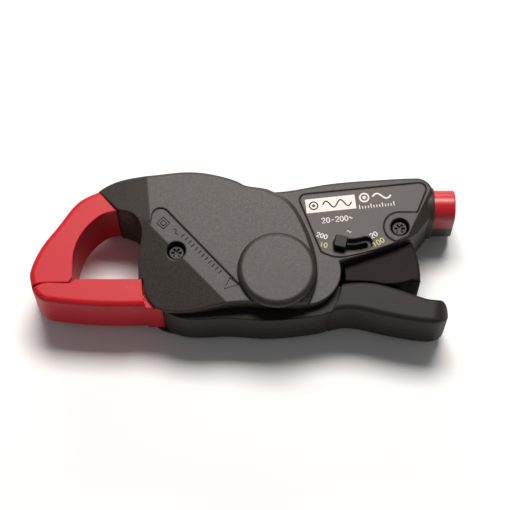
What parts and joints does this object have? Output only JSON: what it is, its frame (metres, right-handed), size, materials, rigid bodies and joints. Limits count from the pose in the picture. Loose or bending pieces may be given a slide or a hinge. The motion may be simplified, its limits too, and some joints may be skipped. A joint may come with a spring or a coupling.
{
  "type": "clamp meter",
  "caption": "Hand-held current clamp whose lever opens a pair of insulated transformer jaws, with a range selector and shrouded output sockets.",
  "frame": {"origin": "jaw pivot axis where it meets the flat back of the meter", "axes": "+X along the meter from the jaws to the output sockets, +Y away from the squeeze lever, +Z out of the front face"},
  "size_m": [0.1397, 0.0512, 0.03],
  "materials": {
    "housing": "warm grey moulded, fine texture",
    "red_cover": "red moulded, satin",
    "steel_core": "stacked silicon-steel laminations",
    "bobbin": "natural nylon",
    "copper": "enamelled copper wire",
    "board": "green board",
    "components": "assorted components",
    "brass": "turned brass",
    "steel": "plated steel",
    "black_plastic": "black moulded, satin",
    "panel": "printed label film",
    "lever": "dark grey moulded, fine texture",
    "red_socket": "red moulded",
    "wire": "insulated hook-up wire"
  },
  "bodies": {
    "meter": {"front_housing": "housing", "rear_housing": "housing", "upper_jaw_cover": "red_cover", "upper_core": "steel_core", "coil_bobbin": "bobbin", "coil_winding": "copper", "coil_leads": "wire", "circuit_board": "board", "board_components": "components", "board_screws": "steel", "selector_tracks": "brass", "label_plate": "panel", "guard_skirt": "lever", "output_socket_red": "red_socket", "output_socket_black": "black_plastic", "socket_contacts": "brass", "socket_leads": "wire", "pivot_cap": "housing", "rear_pivot_cap": "black_plastic", "pivot_pin": "steel", "pivot_washers": "steel", "housing_screws": "black_plastic", "torsion_spring": "steel"},
    "jaw_lever": {"lower_jaw_cover": "red_cover", "lower_core": "steel_core", "lever_front_shell": "lever", "lever_rear_shell": "lever", "pivot_bush": "brass", "lever_screws": "steel"},
    "selector": {"range_knob": "black_plastic", "selector_arm": "black_plastic", "selector_wiper": "brass"}
  },
  "joints": [
    {"name": "jaw_hinge", "type": "hinge", "parent": "meter", "child": "jaw_lever", "pos_m": [0, 0, 0.012], "axis": [0, 0, 1], "range_deg": [0, 15], "stiffness_Nm_per_rad": 0.8, "springref_deg": -34.38},
    {"name": "range_selector", "type": "hinge", "parent": "meter", "child": "selector", "pos_m": [0.0242, 0.0245, 0.0202], "axis": [0, 0, 1], "range_deg": [0, 33]}
  ]
}
